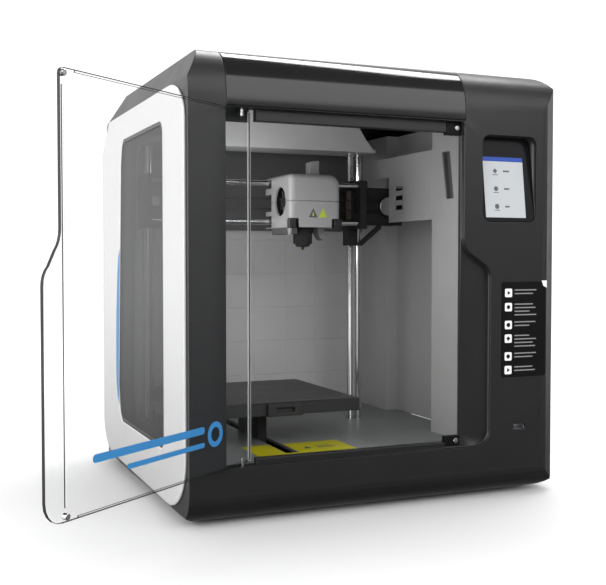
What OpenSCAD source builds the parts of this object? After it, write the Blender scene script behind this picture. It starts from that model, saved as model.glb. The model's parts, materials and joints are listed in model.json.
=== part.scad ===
// Desktop fused-filament printer with an enclosed chamber and a clear front door.
// +X is to the right of someone facing the door, +Y points to the rear, +Z is up.
// Places are written as (x from the middle of the body, d = depth behind the front face, z above
// the table); place() and span() move them to the part's origin, which lies on the table at the
// middle of the ground that the printer covers with its door open.

/* [Body] */
// Width of the black shell between its two sides
shell_w = 380; // [376:1:384]
// Depth of the black shell
shell_depth = 337; // [336:0.5:338]
// Height of the roof above the table
body_h = 405; // [403:1:408]
// Height of the rubber feet
foot_h = 3; // [2:0.5:5]
// Thickness of the shell's walls
wall = 3; // [2.5:0.5:3.5]
// How far each white side panel stands out from the shell
panel_t = 2.5; // [2:0.25:3]

/* [Front door] */
// Angle by which the door stands open at rest
door_open = 143; // [120:1:143]
// Thickness of the clear door sheet
door_t = 3; // [2:0.5:3]
// Width of the door without its finger tab
door_w = 227.5; // [225:0.5:228]
// Radius of the door's hinge pins
hinge_pin_r = 1.5; // [1:0.25:1.75]

/* [Motion system] */
// Radius of the smooth rods and lead screws of the lift and the bed
rod_r = 4; // [3:0.5:4]
// Radius of the two rods that carry the print head
xrod_r = 3; // [2.5:0.25:3]
// Radial running clearance of every rod, shaft and pin
run_gap = 0.05; // [0.02:0.01:0.09]
// Height of the nozzle tip at rest
nozzle_z = 237; // [200:1:240]
// Height of the build surface
bed_top = 90; // [88:0.5:91]
// Width of the bed
bed_w = 169; // [160:1:169]
// Depth of the bed
bed_d = 164; // [150:1:164]

/* [Filament bay] */
// Radius of the spool hub
hub_r = 24; // [15:1:26]
// Radius of the hub's spindle
spindle_r = 8; // [6:0.5:10]

/* [Hidden] */
$fn = 64;
half_w = shell_w / 2;

// Outline of the shell
nose_d = 29;
nose_h = 40;
tail_d = 55;
tail_h = 46;
hem_r = 27;
rear_r = 20;
bevel_x = 16.5;
bevel_d = 5;
roof_bevel_x = 14;
roof_bevel_h = 27.5;

// Shell parting planes
base_top = 24;
front_depth = 40;
rear_start = 300;
roof_start = 356;
lid_left = -156.6;
lid_right = 77;
seam = 0.3;

// Door opening in the front face, and the shallow step around it that the door closes into
open_left = -157;
open_right = 73;
open_bottom = 56.4;
open_top = 344.8;
step_depth = 6;
step_right = 75.5;
step_bottom = 51.3;
step_top = 354.8;
hinge_notch_x = -128;
hinge_notch_depth = 24;
ring_depth = 14;

// Door, drawn closed and then swung about its hinge
hinge_x = -141;
hinge_d = 5.67;
door_left = -155.5;
door_bottom = 52.3;
door_top = 353.8;
door_mid_d = 3;
door_right = door_left + door_w;
tab_w = 16.6;
tab_start = 214;
tab_end = 242;
tab_corner = 16;
door_front = door_mid_d - door_t / 2;
door_back = door_mid_d + door_t / 2;
rim_in = 0.5;
rim_w = 1.8;
magnet_in = 3.6;
magnet_r = 2.2;
rim_t = 1.1;
knuckle_h = 12;
knuckle_r = 3.2;
pin_length = 5;

// Side panels and the left window
left_panel_front = 5.5;
right_panel_front = 24;
panel_rear = 333;
panel_top = 377.5;
panel_low = 11;
right_panel_top = 367;
right_panel_low = 36;
window_frame_w = 3.5;
cover_front = 110;
cover_rear = 300;
cover_bottom = 115;
cover_top = 330;
cover_gap = 0.5;
cover_knuckle_r = 1.5;
cover_pin_r = 0.8;

// Chamber
liner_t = 2;
chamber_left = -174.5;
pillar_x = 107;
pillar_depth = 112;
alcove_x = 146;
alcove_rear = 258;
rear_wall_x = 131;
floor_z = 46;
floor_t = 3;
liner_top = 374;
beam_top = 398;
back_d = 330;
back_split_z = 262;
tile_pitch = 41;
slot_x = -70;
slot_w = 12;

// Lift: smooth rods and lead screws
left_rod = [-165, 226];
left_screw = [-165, 240];
right_rod = [77.4, 226];
right_screw = [67.4, 226];
lift_motor_w = 35;
rod_bottom = 43.5;
rod_top = 352;
beam_front = 205;
beam_rear = 252;
beam_bottom = 347;
beam_end = 88;

// Gantry
xrod_d = 203;
xrod_low = 267.5;
xrod_high = 309;
xrod_left = -172.5;
xrod_right = 73;
belt_front = 208;
belt_back = 213;
belt_z = 287.3;
belt_r = 5;
belt_t = 1.2;
idler_x = -163.5;
xmotor_x = 106.5;
motor_w = 42;

// Carriage
head_left = -40;
head_right = 17;
head_front = 144;
head_rear = 214;
head_bottom = 260;
head_top = 315;
head_wall = 2.5;
nozzle_x = -17;
nozzle_d = 166;
fan_d = 172;
fan_z = 287.5;
fan_r = 15;

// Bed and its drive under the floor
bed_x = -70;
bed_front = 94;
bed_mid_d = bed_front + bed_d / 2;
bed_rod_xs = [-95, -45];
bed_rod_z = 24;
bed_motor_d = 290;
bed_belt_x0 = -35;
bed_belt_x1 = -30;
bed_idler_d = 45;

// Filament feed and electronics
hub_d = 190;
hub_z = 220;
feed_d = 57.5;
feed_z = 309.5;
rear_fan_x = 154;
rear_fan_z = 250;
rear_fan_r = 17;
rear_fan_w = 40;
inlet_x = 153;
inlet_z = 61;
switch_z = 86;

// Touchscreen
screen_left = 95.5;
screen_right = 156;
screen_bottom = 262.8;
screen_top = 343.8;
screen_tilt = 7;
screen_t = 2;

// A place on the closed door, swung open about the hinge: [x, d]
function swung(x, d) = [
  hinge_x + (x - hinge_x) * cos(door_open) + (d - hinge_d) * sin(door_open),
  hinge_d - (x - hinge_x) * sin(door_open) + (d - hinge_d) * cos(door_open)
];
tab_edge = door_right + tab_w;
outer_right = half_w + panel_t + cover_knuckle_r;
outer_rear = shell_depth + 3;
outer_left = min(swung(tab_edge, door_front)[0], swung(tab_edge, door_back)[0]);
outer_front = swung(tab_edge, door_back)[1];
origin_x = (outer_left + outer_right) / 2;
origin_d = (outer_front + outer_rear) / 2;

// ---- helpers -----------------------------------------------------------------------------

module place(x, d, z) {
  translate([x - origin_x, d - origin_d, z]) children();
}

// A block between two planes on each axis
module span(x0, x1, d0, d1, z0, z1) {
  place(x0, d0, z0) cube([x1 - x0, d1 - d0, z1 - z0]);
}

module rod_x(x0, x1, d, z, r) {
  place(x0, d, z) rotate([0, 90, 0]) cylinder(r = r, h = x1 - x0);
}

module rod_d(x, d0, d1, z, r) {
  place(x, d0, z) rotate([-90, 0, 0]) cylinder(r = r, h = d1 - d0);
}

module rod_z(x, d, z0, z1, r) {
  place(x, d, z0) cylinder(r = r, h = z1 - z0);
}

// Outline in (d, z), pushed out along X from x0 to x1
module along_x(x0, x1) {
  place(x0, 0, 0) rotate([90, 0, 90]) linear_extrude(x1 - x0) children();
}

// Outline in (x, z), pushed back along Y from d0 to d1
module along_d(d0, d1) {
  place(0, d1, 0) rotate([90, 0, 0]) linear_extrude(d1 - d0) children();
}

// Outline in (x, d), pushed up along Z from z0 to z1
module along_z(z0, z1) {
  place(0, 0, z0) linear_extrude(z1 - z0) children();
}

function arc(cx, cy, rx, ry, a0, a1, n) =
  [for (i = [0:n]) let (a = a0 + (a1 - a0) * i / n) [cx + rx * cos(a), cy + ry * sin(a)]];

// ---- shell -------------------------------------------------------------------------------

// Side view of the shell, inset by t
function side_outline(t) = concat(
  arc(nose_d, body_h - nose_h, nose_d - t, nose_h - t, 180, 90, 10),
  [[shell_depth - tail_d - 0.36 * t, body_h - t], [shell_depth - t, body_h - tail_h - 0.47 * t]],
  arc(shell_depth - hem_r, foot_h + hem_r, hem_r - t, hem_r - t, 0, -90, 6),
  arc(nose_d, foot_h + hem_r, nose_d - t, hem_r - t, -90, -180, 10)
);

// Front part of the side view, inset by t and open to the rear
function nose_outline(t) = concat(
  arc(nose_d, body_h - nose_h, nose_d - t, nose_h - t, 180, 90, 10),
  [[shell_depth + 200, body_h - t], [shell_depth + 200, foot_h + t]],
  arc(nose_d, foot_h + hem_r, nose_d - t, hem_r - t, -90, -180, 10)
);

// Front view of the shell, inset by t
function front_outline(t) = concat(
  [
    [-half_w + t, foot_h + 6 + 0.5 * t],
    [-half_w + t, body_h - roof_bevel_h - 0.24 * t],
    [-half_w + roof_bevel_x + 0.61 * t, body_h - t]
  ],
  arc(half_w - nose_d, body_h - nose_h, nose_d - t, nose_h - t, 90, 0, 10),
  arc(half_w - nose_d, foot_h + hem_r, nose_d - t, hem_r - t, 0, -90, 10),
  [[-half_w + 9 + 0.3 * t, foot_h + t]]
);

// Top view of the shell, inset by t
function plan_outline(t) = concat(
  [[-half_w + t, t]],
  arc(half_w - nose_d, nose_d, nose_d - t, nose_d - t, -90, 0, 16),
  arc(half_w - rear_r, shell_depth - rear_r, rear_r - t, rear_r - t, 0, 90, 6),
  arc(-half_w + rear_r, shell_depth - rear_r, rear_r - t, rear_r - t, 90, 180, 6)
);

// The nose, running back along a slant on the left of the front face
module left_bevel(t) {
  slant = bevel_d / bevel_x;
  multmatrix([
    [1, 0, 0, 0],
    [-slant, 1, 0, slant * (bevel_x - half_w + 0.23 * t)],
    [0, 0, 1, 0]
  ]) along_x(-half_w - 1, half_w + 1) polygon(nose_outline(t));
}

module shell_block(t) {
  intersection() {
    along_x(-half_w, half_w) polygon(side_outline(t));
    along_d(0, shell_depth) polygon(front_outline(t));
    along_z(foot_h, body_h) polygon(plan_outline(t));
    left_bevel(t);
  }
}

// The hole in each side of the shell, from depth d back and trimmed by t, that a side panel covers
module side_hole(d, t) {
  polygon([[d, 40 + t], [d, 350 - t], [d + 33, 363 - t], [264, 363 - t], [300, 352 - t],
           [319, 335 - t], [319, 50 + t], [300, base_top + 1.5 * t], [d + 17, base_top + 1.5 * t]]);
}

module shell() {
  difference() {
    shell_block(0);
    shell_block(wall);
    along_x(-half_w - 1, -half_w + wall + 1) side_hole(left_panel_front + 17.5, 0);
    along_x(half_w - wall - 1, half_w + 1) side_hole(right_panel_front + 10, 12);
  }
}

module base_pan() {
  color([0.16, 0.16, 0.17]) {
    intersection() {
      shell();
      span(-half_w, half_w, 0, shell_depth, foot_h, base_top);
    }
    for (d = [26, 318]) {
      difference() {
        span(bed_rod_xs[0] - 10, bed_rod_xs[1] + 6, d, d + 6, foot_h + wall, 33);
        for (x = bed_rod_xs) rod_d(x, d - 1, d + 7, bed_rod_z, rod_r + run_gap);
      }
    }
    span(bed_belt_x1 + 1, bed_belt_x1 + 4, bed_idler_d - 8, bed_idler_d + 8,
         foot_h + wall, 31);
    rod_x(bed_belt_x0 - 1, bed_belt_x1 + 1, bed_idler_d, bed_rod_z, belt_r - run_gap);
  }
}

module feet() {
  color([0.08, 0.08, 0.08])
    for (x = [-145, 145], d = [45, 292]) rod_z(x, d, 0, foot_h, 10);
}

module lid_slot() {
  span(lid_left, lid_right, -1, shell_depth + 1, roof_start, body_h + 1);
}

// Outline, in (x, z), of the step that the door and its finger tab close into
module step_outline() {
  polygon(concat(
    [[open_left, step_bottom], [open_left, step_top], [step_right - 5, step_top]],
    arc(step_right - 5, step_top - 5, 5, 5, 90, 0, 4),
    [[step_right, tab_end + 8]],
    arc(step_right + 14, tab_end + 8, 14, 20, 180, 235, 4),
    arc(step_right + 11.5, tab_start - 3, 18, 15, 55, 0, 5),
    arc(step_right + 14.5, step_bottom + 15, 15, 15, 0, -90, 6)
  ));
}

module front_bezel() {
  color([0.19, 0.19, 0.20]) difference() {
    union() {
      intersection() {
        shell();
        span(-half_w, half_w, 0, front_depth, base_top, body_h);
      }
      span(-176, pillar_x + 2, 1, ring_depth, 46, roof_start);
      span(-176, pillar_x + 2, wall + seam, ring_depth, 46, roof_start + 7);
      span(screen_left - 4, screen_right + 4, 1, ring_depth, screen_bottom - 5, screen_top + 5);
      span(131, 146.5, 1, 15, 62, 72);
    }
    difference() {
      lid_slot();
      span(lid_left - 1, lid_right + 1, wall + seam, ring_depth, 300, roof_start + 7);
    }
    span(open_left, open_right, -1, ring_depth + 1, open_bottom, open_top);
    span(open_left, open_right + 6, step_depth + 1.5, ring_depth + 1, open_bottom, open_top);
    along_d(-1, step_depth) step_outline();
    span(open_left, hinge_notch_x, -1, hinge_notch_depth, step_bottom, step_top);
    for (side = [step_bottom - pin_length - 1, step_top - 1])
      rod_z(hinge_x, hinge_d, side, side + pin_length + 2, hinge_pin_r + run_gap);
    span(59.4, 75.5, step_depth - 1, 12.1, 342.3, 354.5);
    span(59.4, 75.5, step_depth - 1, 12.1, 52.5, 62.2);
    intersection() {
      screen_slab(-30, screen_t);
      along_d(-1, 16) screen_outline(0);
    }
    span(132.5, 145, -1, 16, 64.6, 69.6);
  }
}

module roof_rails() {
  color([0.17, 0.17, 0.18]) difference() {
    intersection() {
      shell();
      span(-half_w, half_w, front_depth + run_gap, shell_depth, roof_start, body_h);
    }
    span(lid_left - seam, lid_right + seam, -1, shell_depth + 1, roof_start - 1, body_h + 1);
  }
}

module top_lid() {
  color([0.13, 0.13, 0.14]) intersection() {
    shell();
    span(lid_left + seam, lid_right - seam, 0, shell_depth, roof_start + seam, body_h);
  }
}

module rear_panel() {
  color([0.18, 0.18, 0.19]) difference() {
    intersection() {
      shell();
      span(-half_w, half_w, rear_start, shell_depth, base_top, roof_start);
    }
    for (i = [-2:2]) {
      span(rear_fan_x - 14, rear_fan_x + 14, 330, 340, rear_fan_z + i * 6 - 1.5,
           rear_fan_z + i * 6 + 1.5);
    }
    for (i = [0:9]) span(-120 + i * 9, -116 + i * 9, 330, 340, 280, 330);
    span(inlet_x - 15, inlet_x + 15, 330, 340, inlet_z - 11, inlet_z + 11);
    span(inlet_x - 7, inlet_x + 7, 330, 340, switch_z - 8, switch_z + 8);
    for (x = [-165, 165], z = [110, 330]) rod_d(x, 333, 338, z, 1.7);
  }
}

// ---- side panels -------------------------------------------------------------------------

module panel_outline(front, low, high) {
  polygon(concat(
    arc(front + 54.5, low + 49, 54.5, 49, -90, -180, 8),
    arc(front + 46.5, high - 32.5, 46.5, 32.5, 180, 90, 8),
    [[panel_rear - 38, high], [panel_rear, high - 32]],
    arc(panel_rear - 48, low + 39, 48, 36, 0, -90, 8)
  ));
}

// Outline of the left window in (d, z), inset by t
module window_outline(t) {
  offset(delta = -t) polygon(concat(
    arc(83, 69, 12, 12, -90, -180, 4),
    arc(83, 338.5, 12, 12, 180, 90, 4),
    [[226, 350.5], [234, 344], [240, 327], [255, 94], [249, 66], [238, 57]]
  ));
}

module left_side_panel() {
  color([0.93, 0.93, 0.93]) along_x(-half_w - panel_t, -half_w) difference() {
    panel_outline(left_panel_front, panel_low, panel_top);
    window_outline(0);
  }
}

module left_window_frame() {
  color([0.08, 0.08, 0.09]) along_x(-half_w - panel_t + 0.5, chamber_left - liner_t) difference() {
    window_outline(0);
    window_outline(window_frame_w);
  }
}

module left_window() {
  color([0.45, 0.48, 0.5, 0.4]) along_x(-half_w - panel_t + 0.8, -half_w)
    window_outline(window_frame_w);
}

// Outline of the filament cover in (d, z), grown by t
module cover_outline(t) {
  r = 14;
  polygon(concat(
    arc(cover_front + r, cover_bottom + r, r + t, r + t, -90, -180, 6),
    arc(cover_front + r, cover_top - r, r + t, r + t, 180, 90, 6),
    [[cover_rear + t, cover_top + t], [cover_rear + t, cover_bottom - t]]
  ));
}

module cover_lug(z0, z1) {
  difference() {
    union() {
      rod_z(half_w + panel_t, cover_rear, z0, z1, cover_knuckle_r);
      span(half_w, half_w + panel_t, cover_rear, cover_rear + 3, z0, z1);
    }
    rod_z(half_w + panel_t, cover_rear, z0 - 1, z1 + 1, cover_pin_r + run_gap);
  }
}

module right_side_panel() {
  color([0.93, 0.93, 0.93]) {
    difference() {
      along_x(half_w, half_w + panel_t) difference() {
        panel_outline(right_panel_front, right_panel_low, right_panel_top);
        cover_outline(cover_gap);
        translate([cover_front - 9, 205]) square([12, 40]);
      }
      span(half_w - 1, half_w + panel_t + 1, cover_rear - 2, cover_rear + 3.1,
           cover_bottom - 9, cover_top + 9);
    }
    cover_lug(cover_bottom - 9, cover_bottom - 1);
    cover_lug(cover_top + 1, cover_top + 9);
  }
}

module filament_cover() {
  color([0.9, 0.9, 0.91]) {
    difference() {
      union() {
        along_x(half_w, half_w + panel_t) cover_outline(0);
        rod_z(half_w + panel_t, cover_rear, cover_bottom, cover_top, cover_knuckle_r);
      }
      span(half_w - 5, half_w + 5, cover_rear, cover_rear + 3, cover_bottom - 1, cover_top + 1);
    }
    rod_z(half_w + panel_t, cover_rear, cover_bottom - 6, cover_bottom, cover_pin_r);
    rod_z(half_w + panel_t, cover_rear, cover_top, cover_top + 6, cover_pin_r);
  }
}

// ---- chamber -----------------------------------------------------------------------------

module chamber_floor() {
  color([0.42, 0.43, 0.43]) difference() {
    span(chamber_left - liner_t, alcove_x, ring_depth, back_d + liner_t, floor_z - floor_t, floor_z);
    span(slot_x - slot_w / 2, slot_x + slot_w / 2, 66, 282, 0, 60);
    for (p = [left_screw, right_screw]) rod_z(p[0], p[1], 30, 60, rod_r + 0.8);
    for (p = [left_rod, right_rod]) rod_z(p[0], p[1], 30, 60, rod_r + 0.02);
  }
}

module back_liner() {
  color([0.62, 0.62, 0.62]) difference() {
    span(chamber_left - liner_t, rear_wall_x, back_d, back_d + liner_t, floor_z, back_split_z);
    for (z = [floor_z + tile_pitch:tile_pitch:back_split_z - 5])
      span(chamber_left, rear_wall_x, back_d - 1, back_d + 0.7, z - 0.6, z + 0.6);
    for (x = [chamber_left + tile_pitch:tile_pitch:rear_wall_x - 5])
      span(x - 0.5, x + 0.5, back_d - 1, back_d + 0.5, floor_z, back_split_z);
  }
}

// The room under the sloping rear of the roof
module under_roof() {
  along_x(-half_w, half_w) polygon(side_outline(wall + 0.3));
}

module upper_back_panel() {
  color([0.17, 0.17, 0.18]) intersection() {
    span(chamber_left, rear_wall_x, back_d - 8, back_d + liner_t, back_split_z, liner_top);
    under_roof();
  }
}

module left_liner() {
  color([0.5, 0.5, 0.5]) intersection() {
    along_x(chamber_left - liner_t, chamber_left) difference() {
      translate([ring_depth, floor_z]) square([back_d - ring_depth, liner_top - floor_z]);
      window_outline(window_frame_w);
    }
    under_roof();
  }
}

// Outline of the lamp in the pillar, in (d, z), grown by t
module lamp_outline(t) {
  offset(delta = t) polygon([[69.6, 289], [84.4, 289], [92.8, 337], [78, 337]]);
}

module right_liner() {
  color([0.5, 0.5, 0.5]) difference() {
    intersection() {
      along_z(floor_z, liner_top) polygon([
        [pillar_x, ring_depth], [pillar_x, pillar_depth], [alcove_x, pillar_depth],
        [alcove_x, alcove_rear], [rear_wall_x, alcove_rear], [rear_wall_x, back_d + liner_t],
        [rear_wall_x + liner_t, back_d + liner_t], [rear_wall_x + liner_t, alcove_rear + liner_t],
        [alcove_x + liner_t, alcove_rear + liner_t], [alcove_x + liner_t, pillar_depth - liner_t],
        [pillar_x + liner_t, pillar_depth - liner_t], [pillar_x + liner_t, ring_depth]
      ]);
      under_roof();
    }
    along_x(pillar_x - 1, pillar_x + liner_t + 1) lamp_outline(0);
  }
}

// Outline, in (x, z), of the crossbeam's face, whose right end leans in
module beam_outline() {
  polygon([
    [chamber_left, beam_bottom], [beam_end, beam_bottom], [beam_end - 4, beam_bottom + 6],
    [beam_end - 11, beam_bottom + 14], [beam_end - 18, beam_bottom + 25],
    [beam_end - 22, beam_top], [chamber_left, beam_top]
  ]);
}

module crossbeam() {
  color([0.6, 0.6, 0.6]) {
    along_d(beam_front, beam_front + 2) beam_outline();
    difference() {
      span(chamber_left, beam_end + 2, beam_front + 2, beam_rear, beam_bottom, beam_bottom + 4);
      for (p = [left_screw, right_screw]) rod_z(p[0], p[1], 340, 360, rod_r + run_gap);
      for (p = [left_rod, right_rod]) rod_z(p[0], p[1], 340, 360, rod_r + 0.02);
    }
  }
}

module side_guard() {
  color([0.55, 0.55, 0.55]) along_x(pillar_x, pillar_x + liner_t) difference() {
    union() {
      translate([pillar_depth, 269]) square([95, 73]);
      translate([pillar_depth, 320]) square([131, 22]);
    }
    for (z = [282.7, 293.3, 303.9]) translate([174.5, z]) square([19, 4.9]);
  }
}

module chamber_light() {
  color([0.4, 0.4, 0.4]) difference() {
    along_x(pillar_x + liner_t + 0.02, pillar_x + liner_t + 6) lamp_outline(3);
    along_x(pillar_x + liner_t - 1, pillar_x + liner_t + 4) lamp_outline(0);
  }
}

module door_catches() {
  color([0.1, 0.1, 0.1]) {
    span(59.6, 75.3, step_depth, 12, 342.5, 354.3);
    span(59.6, 75.3, step_depth, 12, 52.7, 62);
  }
}

// ---- front panel fittings ----------------------------------------------------------------

module screen_outline(t) {
  r = 8;
  offset(delta = -t) polygon(concat(
    arc(screen_left + r, screen_bottom + r, r, r, 180, 270, 4),
    arc(screen_right - r, screen_bottom + r, r, r, -90, 0, 4),
    arc(screen_right - r, screen_top - r, r, r, 0, 90, 4),
    arc(screen_left + r, screen_top - r, r, r, 90, 180, 4)
  ));
}

// A tilted slab between two depths measured from the front of the sloping screen
module screen_slab(d0, d1) {
  place(screen_left - 20, 1, screen_bottom) rotate([-screen_tilt, 0, 0])
    translate([0, d0, -40]) cube([100, d1 - d0, 180]);
}

module touchscreen() {
  color([0.05, 0.05, 0.06]) intersection() {
    screen_slab(0, screen_t);
    along_d(-1, 16) screen_outline(0.25);
  }
}

module usb_port() {
  color([0.5, 0.5, 0.52]) difference() {
    span(132.6, 144.9, 2, 15, 64.7, 69.5);
    span(133, 144.5, 1, 14, 65, 69.2);
  }
}

module power_inlet() {
  color([0.06, 0.06, 0.06]) difference() {
    span(inlet_x - 14.8, inlet_x + 14.8, 318, 339, inlet_z - 10.8, inlet_z + 10.8);
    span(inlet_x - 12, inlet_x + 12, 324, 340, inlet_z - 8, inlet_z + 8);
  }
}

module power_switch() {
  color([0.5, 0.05, 0.05]) difference() {
    rod_x(inlet_x - 5.5, inlet_x + 5.5, 333, switch_z, 7);
    span(inlet_x - 7, inlet_x + 7, 324, 331, switch_z - 8, switch_z + 8);
    rod_x(inlet_x - 7, inlet_x + 7, 333, switch_z, 1.5 + run_gap);
  }
}

// ---- rods and motors ---------------------------------------------------------------------

module guide_rods() {
  color([0.8, 0.8, 0.82]) {
    for (p = [left_rod, right_rod]) rod_z(p[0], p[1], rod_bottom, rod_top, rod_r);
    for (x = bed_rod_xs) rod_d(x, 26, 324, bed_rod_z, rod_r);
  }
}

module lift_motors() {
  w = lift_motor_w / 2;
  color([0.1, 0.1, 0.1]) for (p = [left_screw, right_screw]) difference() {
    span(p[0] - w, p[0] + w, p[1] - w, p[1] + w, 8, 41);
    rod_z(p[0], p[1], 35.9, 50, rod_r + run_gap);
  }
}

module lead_screw(p) {
  color([0.7, 0.7, 0.72]) rod_z(p[0], p[1], 36, rod_top, rod_r);
}

module left_lead_screw() {
  lead_screw(left_screw);
}

module right_lead_screw() {
  lead_screw(right_screw);
}

// A closed belt round two pulleys, in the plane (along, z), as a flat outline
module belt_loop(a0, a1, z) {
  difference() {
    union() {
      translate([a0, z]) circle(r = belt_r + belt_t);
      translate([a1, z]) circle(r = belt_r + belt_t);
      translate([a0, z - belt_r - belt_t]) square([a1 - a0, 2 * (belt_r + belt_t)]);
    }
    translate([a0, z]) circle(r = belt_r);
    translate([a1, z]) circle(r = belt_r);
    translate([a0, z - belt_r]) square([a1 - a0, 2 * belt_r]);
  }
}

module bed_motor() {
  color([0.1, 0.1, 0.1]) difference() {
    span(-26, 8, bed_motor_d - 18, bed_motor_d + 18, foot_h + wall, foot_h + wall + 36);
    rod_x(-27, -16, bed_motor_d, bed_rod_z, 2.5 + run_gap);
  }
}

module bed_pulley() {
  color([0.7, 0.7, 0.72]) {
    rod_x(bed_belt_x0 - 0.5, bed_belt_x1 + 0.5, bed_motor_d, bed_rod_z, belt_r - run_gap);
    rod_x(bed_belt_x1 + 0.5, -18, bed_motor_d, bed_rod_z, 2.5);
  }
}

module bed_belt() {
  color([0.07, 0.07, 0.07]) along_x(bed_belt_x0, bed_belt_x1)
    belt_loop(bed_idler_d, bed_motor_d, bed_rod_z);
}

// ---- gantry ------------------------------------------------------------------------------

module gantry_bracket_left() {
  color([0.3, 0.3, 0.31]) difference() {
    union() {
      span(-173.8, -170.6, 193, 250, 260, 315);
      for (z = [260, 305]) span(-170.6, -158, head_rear + 0.6, 250, z, z + 10);
      span(-170.6, -158, 247, 250, 270, 305);
      span(-170.6, -158, head_rear + 0.6, 217.5, 279, 295);
    }
    rod_z(left_screw[0], left_screw[1], 250, 330, 5.5);
    rod_z(left_rod[0], left_rod[1], 250, 330, rod_r + run_gap);
    for (z = [xrod_low, xrod_high]) rod_x(xrod_left - 0.1, -170, xrod_d, z, xrod_r + 0.02);
    rod_d(idler_x, 210, 220, belt_z, 2);
  }
}

module gantry_bracket_right() {
  color([0.3, 0.3, 0.31]) difference() {
    union() {
      span(66, 74, 197, 236, 262, 315);
      for (z = [262, 305]) span(58, 84, head_rear + 0.6, 236, z, z + 10);
      span(58, 84, 233, 236, 272, 305);
      span(61.5, 73.3, 219, 233, 243, 262);
      span(74, 128, belt_back + 1, belt_back + 3, 266.3, 308.3);
    }
    rod_z(right_screw[0], right_screw[1], 262, 330, 5.5);
    rod_z(right_screw[0], right_screw[1], 240, 263, rod_r + run_gap);
    rod_z(right_rod[0], right_rod[1], 240, 330, rod_r + run_gap);
    for (z = [xrod_low, xrod_high]) rod_x(60, xrod_right + 0.1, xrod_d, z, xrod_r + 0.02);
    span(65, 75, belt_front - 1, belt_back + 0.5, belt_z - 9, belt_z + 9);
    rod_d(xmotor_x, 200, 220, belt_z, 11.1);
  }
}

module lead_nuts() {
  color([0.72, 0.58, 0.3]) for (p = [left_screw, right_screw]) difference() {
    rod_z(p[0], p[1], 262.1, 311, 5.45);
    rod_z(p[0], p[1], 250, 320, rod_r + run_gap);
  }
}

module carriage_rods() {
  color([0.85, 0.85, 0.87]) for (z = [xrod_low, xrod_high])
    rod_x(xrod_left, xrod_right, xrod_d, z, xrod_r);
}

module carriage_motor() {
  color([0.07, 0.07, 0.07]) difference() {
    union() {
      span(xmotor_x - motor_w / 2, xmotor_x + motor_w / 2, belt_back + 3, 250,
           belt_z - motor_w / 2, belt_z + motor_w / 2);
      rod_d(xmotor_x, belt_back + 1, belt_back + 3, belt_z, 11);
    }
    rod_d(xmotor_x, belt_back, 226, belt_z, 2.5 + run_gap);
  }
}

module carriage_pulley() {
  color([0.75, 0.75, 0.77]) {
    rod_d(xmotor_x, belt_front - 0.4, belt_back + 0.4, belt_z, belt_r - run_gap);
    rod_d(xmotor_x, belt_back + 0.4, 224, belt_z, 2.5);
  }
}

module carriage_idler() {
  color([0.75, 0.75, 0.77]) {
    rod_d(idler_x, belt_front - 0.4, belt_back + 0.4, belt_z, belt_r - run_gap);
    rod_d(idler_x, belt_back + 0.4, 218, belt_z, 2 - run_gap);
  }
}

module carriage_belt() {
  color([0.07, 0.07, 0.07]) along_d(belt_front, belt_back)
    belt_loop(idler_x, xmotor_x, belt_z);
}

// ---- print head --------------------------------------------------------------------------

module head_outline(t) {
  r = 11;
  offset(delta = -t) polygon(concat(
    [[head_left, head_bottom]],
    arc(head_left + 4, head_top - 4, 4, 4, 180, 90, 3),
    arc(head_right - r, head_top - r, r, r, 90, 0, 6),
    [[head_right, head_bottom]]
  ));
}

module carriage_housing() {
  color([0.46, 0.46, 0.46]) {
    difference() {
      along_d(head_front, head_rear) head_outline(0);
      along_d(head_front + 3, head_rear + 1) head_outline(head_wall);
      span(head_left + head_wall, head_right - head_wall, head_front + 3, head_rear + 1,
           head_bottom - 1, head_bottom + 10);
      rod_x(head_left - 1, head_left + 3, fan_d, fan_z, fan_r);
      for (x = [head_left - 1, head_right - 3]) {
        span(x, x + 4, xrod_d - 6, head_rear + 1, xrod_low - 6, xrod_low + 6);
        span(x, x + 4, xrod_d - 6, head_rear + 1, xrod_high - 6, xrod_high + 3.4);
        span(x, x + 4, belt_front - 2, head_rear + 1, belt_z - 9, belt_z + 9);
      }
      rod_x(head_right - 12, head_right, xrod_d, xrod_high, 3.4);
      span(head_left - 1, -30.5, head_front - 1, head_front + 7, head_bottom - 1, 269.5);
      span(6.5, head_right + 1, head_front - 1, head_front + 7, head_bottom - 1, 269.5);
      rod_z(-2.5, 174, 300, 330, 5.5);
    }
    span(-4, 7, 158, 172, 244, 257);
    span(3, 7, 158, 172, 257, 262);
    span(7, head_right - head_wall, 158, 172, 258, 262);
  }
}

module carriage_slider() {
  color([0.3, 0.3, 0.31]) {
    difference() {
      span(-36, 5.5, 193, 213.4, 262, 312.4);
      for (z = [xrod_low, xrod_high]) rod_x(-37, 14, xrod_d, z, xrod_r + run_gap);
      span(-37, 14, belt_front - 0.8, 214, belt_z - 7.5, belt_z + 7.5);
    }
    span(-22, -10, belt_front - 0.8, 213.4, belt_z + belt_r + belt_t, belt_z + 7.6);
  }
}

module hotend() {
  color([0.72, 0.6, 0.35]) {
    rod_z(nozzle_x, nozzle_d, 241, 272, rod_r);
    place(nozzle_x, nozzle_d, nozzle_z) cylinder(r1 = 0.7, r2 = 3, h = 241 - nozzle_z);
    for (z = [272:5:297]) rod_z(nozzle_x, nozzle_d, z, z + 2.6, 11);
    rod_z(nozzle_x, nozzle_d, 272, 300, 6);
    difference() {
      span(nozzle_x - 2, nozzle_x + 2, 176, 193, 283, 291);
      rod_z(nozzle_x, nozzle_d, 262, 302, 10.9);
    }
    rod_x(-31, -28.5, fan_d, fan_z, 3);
    span(-30.5, -26.5, 169, 175, 284, 291);
    rod_x(-36, -30, fan_d, fan_z, 1.5);
  }
}

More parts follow.
